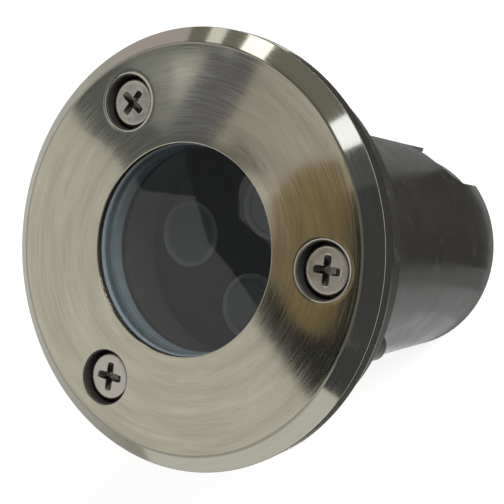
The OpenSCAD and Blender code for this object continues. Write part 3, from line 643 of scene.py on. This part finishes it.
class DressRingScrews(bpy.types.Operator):
    """Builds the three ring screws with their cross recesses and threads"""
    bl_idname = "well_light.ring_screws"
    bl_label = "Ring screws"

    def execute(self, context):
        ring, sizes = context.scene.well_light_ring, context.scene.well_light_screws
        steel = plated_metal("Stainless steel screw", sizes.steel, roughness=0.22, grain=4 * MM, spread=0.05)
        # Painted shade: the recess takes a darker steel than the head
        recess = plated_metal("Recess steel with painted shade", sizes.recess, roughness=0.3, grain=2 * MM)
        for i, third in enumerate(THIRDS):
            low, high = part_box(f"ring_screw_{i + 1}")
            turn = ring.screw_turn + third
            place = (ring.screw_circle * math.cos(turn), ring.screw_circle * math.sin(turn))
            grid, inner = screw_surface(sizes, high.z, low.z)
            grid = about(grid, *place, math.radians(CROSS_TURNS[i]))
            screw = build_piece(f"RingScrew_{i + 1}", [(grid[:inner + 1], 1), (grid[inner:], 0)], [steel, recess])
            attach(screw, f"screw_{i + 1}")
            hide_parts(f"ring_screw_{i + 1}")
        return {"FINISHED"}


# ---------------- glass and gasket

class GlazingSizes(bpy.types.PropertyGroup):
    """Sizes of the gasket, and the colours of gasket and glass"""
    lip_radius: length("Lip radius", "Inner radius of the gasket's upper lip", 23.6 * MM)
    foot_radius: length("Foot radius", "Inner radius of the gasket's base", 23.35 * MM)
    silicone: colour("Silicone", "Grey silicone of the gasket", "#687276")
    glass: colour("Glass", "Tint of the glass", "#e9f0ee")
    dust: colour("Dust", "Dust on the glass", "#7c7e7b")


def gasket_profile(sizes):
    """Closed channel profile round the edge of the glass, all rounded: lip on top, wall outside, base below."""
    out, top, low = GASKET_HIGH.x, GASKET_HIGH.z, GASKET_LOW.z
    glass_r, glass_top, glass_low = GLASS_HIGH.x, GLASS_HIGH.z, GLASS_LOW.z
    lip, edge = 0.4 * MM, 0.3 * MM
    return np.concatenate([
        arc_points((sizes.lip_radius + lip, top - lip), lip, 180, 90, 6),
        arc_points((out - edge, top - edge), edge, 90, 0, 4),
        arc_points((out - edge, low + edge), edge, 0, -90, 4),
        arc_points((sizes.foot_radius + edge, low + edge), edge, -90, -180, 4),
        [[sizes.foot_radius, glass_low], [glass_r, glass_low], [glass_r, glass_top], [sizes.lip_radius, glass_top],
         [sizes.lip_radius, top - lip]],
    ])


class DressGlazing(bpy.types.Operator):
    """Builds the gasket round the glass and gives the glass its finish"""
    bl_idname = "well_light.glazing"
    bl_label = "Glass and gasket"

    def execute(self, context):
        sizes = context.scene.well_light_glazing
        silicone = soft_rubber("Grey silicone rubber", sizes.silicone, roughness=0.5)
        gasket = build_piece("Gasket", [(revolve(gasket_profile(sizes), AROUND), 0)], [silicone])
        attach(gasket, "trim")
        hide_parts("glass_gasket")
        dress(toughened_glass("Toughened glass", sizes.glass, sizes.dust), "glass_lens")
        return {"FINISHED"}


# ---------------- pot, lamp, socket and gland

class PotColours(bpy.types.PropertyGroup):
    """Colours of the pot and of the cord gland in its floor"""
    plastic: colour("Pot", "Moulded plastic of the pot", "#31302d")
    brass: colour("Thread inserts", "Turned brass of the thread inserts", "#bd9a52")
    gland: colour("Gland", "Moulded plastic of the gland", "#30302e")
    rubber: colour("Gland seals", "Rubber of the gland's washer and seal", "#232323")


class LampColours(bpy.types.PropertyGroup):
    """Colours of the lamp behind the glass"""
    shell: colour("Shell", "Black anodised aluminium of the finned shell", "#1b1c1e")
    face: colour("Face", "Plastic round the lenses", "#0e0f0f")
    holders: colour("Holders", "Plastic of the lens holders", "#606262")
    lenses: colour("Lenses", "Acrylic of the lenses", "#868a8b")
    board: colour("Board", "Solder mask of the lamp's board", "#d5d5ce")
    chips: colour("Chips", "Phosphor of the three chips", "#e0cb5f")
    driver: colour("Driver", "Solder mask of the driver", "#386546")
    wires: colour("Wires", "Insulation of the lamp's wires", "#9c3027")
    base: colour("Base", "Plastic of the pin base", "#d6d2c8")
    pins: colour("Pins", "Nickel plate of the pins", "#c7c2b6")
    zinc: colour("Board screw", "Zinc plate of the board's screw", "#b0b5b8")


class SocketColours(bpy.types.PropertyGroup):
    """Colours of the socket, its bracket, the terminal block and the leads"""
    ceramic: colour("Socket", "Steatite of the socket", "#dfdbd0")
    brass: colour("Contacts", "Stamped brass of the contacts and clamps", "#bf9c56")
    zinc: colour("Screws", "Zinc plate of the screws", "#b0b5b8")
    strip: colour("Bracket", "Galvanised strip of the bracket", "#9ca2a6")
    block: colour("Terminal block", "Polyamide of the terminal block", "#e2e0d8")
    lead_left: colour("Left lead", "Insulation of the left lead", "#39689a")
    lead_right: colour("Right lead", "Insulation of the right lead", "#6f482b")


# In the operators that follow, the number after a paint is the finish's roughness
class DressPot(bpy.types.Operator):
    """Gives the moulded pot and its thread inserts their finishes"""
    bl_idname = "well_light.pot"
    bl_label = "Pot"

    def execute(self, context):
        paints = context.scene.well_light_pot
        dress(moulded_plastic("Moulded dark grey plastic", paints.plastic, 0.34, grain=0.7 * MM, depth=3 * MICRON,
                              scuffs=0.8), "ground_pot")
        dress(plated_metal("Turned brass", paints.brass, 0.28), "thread_inserts")
        return {"FINISHED"}


class DressLamp(bpy.types.Operator):
    """Gives the lamp's pieces their finishes"""
    bl_idname = "well_light.lamp"
    bl_label = "Lamp"

    def execute(self, context):
        paints = context.scene.well_light_lamp
        dress(plated_metal("Black anodised aluminium", paints.shell, 0.42, grain=1.6 * MM), "lamp_body")
        dress(moulded_plastic("Black polycarbonate", paints.face, 0.6, depth=0.0, gloss=0.1), "lamp_face")
        dress(moulded_plastic("Grey polycarbonate", paints.holders, 0.5, depth=0.0, gloss=0.15), "lens_holders")
        dress(moulded_acrylic("Moulded acrylic with painted edge sheen", paints.lenses), "lamp_lenses")
        dress(moulded_plastic("White solder mask", paints.board, 0.35), "led_board")
        dress(moulded_plastic("Yellow phosphor", paints.chips, 0.5), "led_chips")
        dress(moulded_plastic("Green circuit board", paints.driver, 0.35), "driver_board")
        dress(soft_rubber("Red wire insulation", paints.wires, 0.45), "lamp_wires")
        dress(moulded_plastic("Ivory thermoplastic", paints.base, 0.4), "lamp_base")
        dress(plated_metal("Nickel plate", paints.pins, 0.22), "lamp_pins")
        dress(plated_metal("Zinc plate", paints.zinc, 0.3), "board_screw")
        return {"FINISHED"}


class DressSocket(bpy.types.Operator):
    """Gives the socket, its bracket, the terminal block and the leads their finishes"""
    bl_idname = "well_light.socket"
    bl_label = "Socket and terminals"

    def execute(self, context):
        paints = context.scene.well_light_socket
        dress(moulded_plastic("Steatite ceramic", paints.ceramic, 0.3), "lamp_socket")
        dress(plated_metal("Stamped brass", paints.brass, 0.28), "socket_contacts", "terminal_clamps")
        dress(plated_metal("Zinc plated screw", paints.zinc, 0.3), "socket_screws", "floor_screws", "terminal_screws")
        dress(plated_metal("Galvanised strip", paints.strip, 0.38, grain=2 * MM, spread=0.14), "socket_bracket")
        dress(moulded_plastic("Milky polyamide", paints.block, 0.4), "terminal_block")
        dress(soft_rubber("Blue lead", paints.lead_left, 0.42), "lead_left")
        dress(soft_rubber("Brown lead", paints.lead_right, 0.42), "lead_right")
        return {"FINISHED"}


class DressGland(bpy.types.Operator):
    """Gives the cord gland's pieces their finishes"""
    bl_idname = "well_light.gland"
    bl_label = "Cord gland"

    def execute(self, context):
        paints = context.scene.well_light_pot
        dress(moulded_plastic("Black polyamide", paints.gland, 0.42), "gland_body", "gland_locknut", "gland_nut")
        dress(soft_rubber("Black rubber", paints.rubber, 0.6), "gland_washer", "gland_seal")
        return {"FINISHED"}


# ---------------- stage

class StageSizes(bpy.types.PropertyGroup):
    """Strengths, sizes and colour of the room, the soft box, the cards, the floor and the lens"""
    room: FloatProperty(name="Room light", description="Strength of the even light from all sides", default=0.45)
    mirrored: FloatProperty(name="Mirrored room", description="Brightness of the room in reflections", default=0.74)
    behind: FloatProperty(name="Room through glass", description="Brightness of the room seen through glass",
                          default=0.35)
    key_power: FloatProperty(name="Soft box power", description="Power of the soft box", default=9.5, unit="POWER")
    lens: length("Lens", "Focal length on a 36 mm sensor", 99.06 * MM)
    card_height: length("Card height", "Height of the flat cards over the ring's face", 500 * MM)
    wall_distance: length("Wall distance", "Distance of the curved cards from the ring", 900 * MM)
    paper: colour("Paper", "Seamless paper under the light", "#e8e7e4")


def stage_sheet(name, corners, faces, material, mirror_only):
    """A sheet of the stage. One for reflections alone is seen by no camera, and lights and shades nothing."""
    mesh = bpy.data.meshes.new(name)
    mesh.from_pydata(corners, [], faces)
    sheet = bpy.data.objects.new(name, mesh)
    bpy.context.scene.collection.objects.link(sheet)
    mesh.materials.append(material)
    if mirror_only:
        sheet.visible_camera = sheet.visible_diffuse = sheet.visible_transmission = False
        sheet.visible_volume_scatter = sheet.visible_shadow = False


def card_paint(name, code, strength):
    """Evenly bright card, as the reflections show it."""
    material, tree, output = new_material(name)
    glow = result(tree, "ShaderNodeEmission", Color=linear(code), Strength=strength)
    tree.links.new(glow, output.inputs["Surface"])
    return material


# Flat cards over the face, each a millimetre below the one before: name, colour, corners in millimetres
FLAT_CARDS = (
    ("CardGrey", "#6b7074", (
        (-475, 135), (-465, 105), (-450, 80), (-425, 65), (-400, 35), (-355, 30), (-335, 60), (-300, 110), (-280, 135),
        (-390, 160))),
    ("CardMiddle", "#a3a8ab", (
        (-415, 124), (-377, 129), (-348, 123), (-355, 83), (-370, 71), (-385, 77), (-390, 93), (-391, 111))),
    ("CardPale", "#dde1e6", ((-368, 123), (-316, 127), (-330, 106), (-351, 83), (-363, 76), (-369, 95))),
    ("CardBeige", "#c0bdbc", (
        (-300, 115), (-270, 115), (-235, 55), (-235, 35), (-270, 35), (-300, 35), (-340, 60), (-310, 95))),
    ("CardBrown", "#8f8064", (
        (-292, 23), (-279, 40), (-264, 49), (-232, 50), (-229, -13), (-236, -49), (-247, -65), (-259, -65),
        (-284, -38), (-293, -2))),
    ("CardStreak", "#757785", ((-335, 127), (-304, 115), (-314, 95), (-342, 65), (-376, 65), (-362, 90))),
    ("CardWisp", "#4b4b4d", ((-321, 70), (-312, 66), (-304, 57), (-291, 44), (-298, 43), (-309, 53), (-317, 62))),
    ("CardWedge", "#292b2e", (
        (-299, 3), (-293, -2), (-289, -22), (-282, -37), (-270, -52), (-259, -60), (-250, -58), (-244, -47),
        (-239, -30), (-235, -13), (-231, 31), (-201, 35), (-208, -54), (-231, -101), (-262, -98), (-301, -50))),
    ("CardOverhead", "#8c8c88", ((-180, -140), (420, -420), (420, 420), (-180, 240))),
    ("CardBand", "#0c0c0c", (
        (-360, 65), (-323, 59), (-309, 44), (-315, 35), (-315, 15), (-295, 0), (-295, -50), (-320, -20), (-340, 0),
        (-350, 30))),
)
# Curved cards round the ring: name, colour, strength, share of the wall distance, azimuths and elevations in degrees
CURVED_CARDS = (
    ("WallGrey", "#7f8078", 1.0, 1.05, (46, 122), (4, 60)),
    ("WallPink", "#c3bac0", 1.0, 1.05, (122, 152), (-14, 34)),
    ("WallDark", "#4a4c50", 1.0, 1.05, (-66, 46), (14, 66)),
    ("StripNarrow", "#ffffff", 1.0, 1.0, (111, 116), (6, 20)),
    ("StripWide", "#ffffff", 2.2, 1.0, (95, 104), (10, 34)),
    ("StripBlue", "#eef2ff", 1.9, 1.0, (46, 59), (28, 50)),
    ("StripFade", "#5c6066", 1.0, 1.02, (28, 46), (20, 58)),
)
# Cards on the floor round the pot: name, colour, strength, distances from the axis in millimetres, azimuths in degrees
FLOOR_CARDS = (
    ("FloorDark", "#080808", 1.0, (30, 92), (-14, 55)),
    ("FloorDusk", "#a8a8a8", 1.0, (30, 92), (55, 135)),
    ("FloorSheen", "#a2a2a2", 1.0, (30, 92), (-28, -14)),
    ("FloorPale", "#e0e0e0", 1.0, (30, 92), (-50, -28)),
    ("FloorClear", "#ffffff", 1.0, (30, 92), (-85, -50)),
    ("FloorBright", "#ffffff", 1.4, (30, 92), (-135, -85)),
    ("FloorGrey", "#4a4a4a", 1.0, (93, 420), (-140, 100)),
)
# Height of the floor cards over the floor, in millimetres
FLOOR_GAP = 1
# Camera fitted to the photograph: its place in metres, its turns about X and Y in radians, its sensor in millimetres
CAMERA_PLACE = (0.1826, 0.0028, 0.3582)
CAMERA_TURNS = (-0.013, 0.579)
SENSOR_WIDTH = 36.0
# Soft box: its place, the point it faces and its side, and the reach of the floor, all in metres
SOFT_BOX_PLACE, SOFT_BOX_AIM, SOFT_BOX_SIDE = (0.6, 0.5, 0.52), (0, 0, 0.1), 0.5
FLOOR_REACH = 3.0


def hang_card(name, code, strength, points, faces):
    """One card that only reflections see."""
    stage_sheet(name, points, faces, card_paint(name + " light", code, strength), True)


def set_cards(sizes):
    """Hangs the cards that the steel, the glass and the pot mirror."""
    floor_columns, wall_columns, wall_rows = 25, 13, 9
    for i, (name, code, corners) in enumerate(FLAT_CARDS):
        height = FACE_Z + sizes.card_height - i * MM
        hang_card(name, code, 1.0, [(x * MM, y * MM, height) for x, y in corners], [tuple(range(len(corners)))])
    for name, code, strength, distances, azimuths in FLOOR_CARDS:
        turns = np.radians(np.linspace(*azimuths, floor_columns))
        points = revolve(np.column_stack([distances, (FLOOR_GAP, FLOOR_GAP)]) * MM, turns)
        hang_card(name, code, strength, points.reshape(-1, 3).tolist(), grid_faces(2, floor_columns).tolist())
    for name, code, strength, share, azimuths, elevations in CURVED_CARDS:
        turns, rises = np.meshgrid(np.radians(np.linspace(*azimuths, wall_columns)),
                                   np.radians(np.linspace(*elevations, wall_rows)))
        ball = np.stack([np.cos(rises) * np.cos(turns), np.cos(rises) * np.sin(turns), np.sin(rises)], axis=-1)
        points = ball.reshape(-1, 3) * sizes.wall_distance * share + np.array([0, 0, FACE_Z])
        hang_card(name, code, strength, points.tolist(), grid_faces(wall_rows, wall_columns).tolist())


def floor_paint(paint):
    """White seamless paper. The camera sees it, also through glass, with light of its own, so that it is white and
    the object's shadow stays as a faint one."""
    material, tree, output = new_material("White seamless paper")
    plain = result(tree, "ShaderNodeBsdfDiffuse", Color=paint)
    glow = result(tree, "ShaderNodeEmission", Color=(1, 1, 1, 1), Strength=1.6)
    lit = result(tree, "ShaderNodeMixShader", i0=0.5, i1=plain, i2=glow)
    path = add_node(tree, "ShaderNodeLightPath").outputs
    seen = calculated(tree, "MAXIMUM", path["Is Camera Ray"], path["Is Transmission Ray"])
    both = result(tree, "ShaderNodeMixShader", i0=seen, i1=plain, i2=lit)
    tree.links.new(both, output.inputs["Surface"])
    return material


def room_light(sizes):
    """Even room: white to the camera, less in reflections and through glass, and soft fill elsewhere."""
    world = bpy.data.worlds.new("Room")
    world.use_nodes = True
    tree = world.node_tree
    tree.nodes.clear()
    path = add_node(tree, "ShaderNodeLightPath").outputs
    level = sizes.room
    for ray, bright in (("Glossy", sizes.mirrored), ("Transmission", sizes.behind), ("Camera", 1.0)):
        level = result(tree, "ShaderNodeMix", {"data_type": "FLOAT"}, Factor=path[f"Is {ray} Ray"], i2=level,
                       i3=bright)
    back = result(tree, "ShaderNodeBackground", Color=(1, 1, 1, 1), Strength=level)
    tree.links.new(back, add_node(tree, "ShaderNodeOutputWorld").inputs["Surface"])
    return world


class SetStage(bpy.types.Operator):
    """Makes the floor, the light, the cards and the camera at the photograph's angle"""
    bl_idname = "well_light.stage"
    bl_label = "Stage"

    def execute(self, context):
        sizes = context.scene.well_light_stage
        scene = context.scene
        far = FLOOR_REACH
        stage_sheet("Floor", [(-far, -far, 0), (far, -far, 0), (far, far, 0), (-far, far, 0)], [(0, 1, 2, 3)],
                    floor_paint(sizes.paper), False)
        set_cards(sizes)
        scene.world = room_light(sizes)
        box = bpy.data.lights.new("SoftBox", "AREA")
        box.shape, box.size, box.energy = "SQUARE", SOFT_BOX_SIDE, sizes.key_power
        light = bpy.data.objects.new("SoftBox", box)
        scene.collection.objects.link(light)
        light.location = SOFT_BOX_PLACE
        light.rotation_mode = "QUATERNION"
        light.rotation_quaternion = (Vector(SOFT_BOX_AIM) - light.location).to_track_quat("-Z", "Y")
        light.visible_glossy = False
        camera_data = bpy.data.cameras.new("Camera")
        camera_data.lens = sizes.lens / MM
        camera_data.sensor_width = SENSOR_WIDTH
        camera_data.clip_start, camera_data.clip_end = 0.01, 20
        camera = bpy.data.objects.new("Camera", camera_data)
        scene.collection.objects.link(camera)
        lean = Matrix.Rotation(CAMERA_TURNS[0], 4, "X") @ Matrix.Rotation(CAMERA_TURNS[1], 4, "Y")
        camera.matrix_world = Matrix.Translation(CAMERA_PLACE) @ lean
        scene.camera = camera
        scene.view_settings.view_transform = "Standard"
        return {"FINISHED"}


# ---------------- panel and run

class WellLightPanel(bpy.types.Panel):
    """Lists the well light's pieces and their sizes"""
    bl_label = "Well light"
    bl_idname = "VIEW3D_PT_well_light"
    bl_space_type = "VIEW_3D"
    bl_region_type = "UI"
    bl_category = "Well light"

    def draw(self, context):
        layout = self.layout
        for operator in OPERATORS:
            layout.operator(operator.bl_idname)
        for group in GROUPS:
            sizes = getattr(context.scene, group)
            box = layout.box()
            for name in sizes.__annotations__:
                box.prop(sizes, name)


GROUPS = {"well_light_ring": RingSizes, "well_light_screws": ScrewSizes, "well_light_glazing": GlazingSizes,
          "well_light_pot": PotColours, "well_light_lamp": LampColours, "well_light_socket": SocketColours,
          "well_light_stage": StageSizes}
OPERATORS = (DressTrimRing, DressRingScrews, DressGlazing, DressPot, DressLamp, DressSocket, DressGland, SetStage)


def register():
    """Registers the property groups, the operators and the panel."""
    for cls in (*GROUPS.values(), *OPERATORS, WellLightPanel):
        bpy.utils.register_class(cls)
    for name, cls in GROUPS.items():
        setattr(bpy.types.Scene, name, PointerProperty(type=cls))


def unregister():
    """Undoes register."""
    for name in GROUPS:
        delattr(bpy.types.Scene, name)
    for cls in (WellLightPanel, *reversed(OPERATORS), *reversed(GROUPS.values())):
        bpy.utils.unregister_class(cls)


def main():
    """Builds the whole light and its stage."""
    register()
    bpy.ops.well_light.trim_ring()
    bpy.ops.well_light.ring_screws()
    bpy.ops.well_light.glazing()
    bpy.ops.well_light.pot()
    bpy.ops.well_light.lamp()
    bpy.ops.well_light.socket()
    bpy.ops.well_light.gland()
    bpy.ops.well_light.stage()


if __name__ == "__main__":
    main()
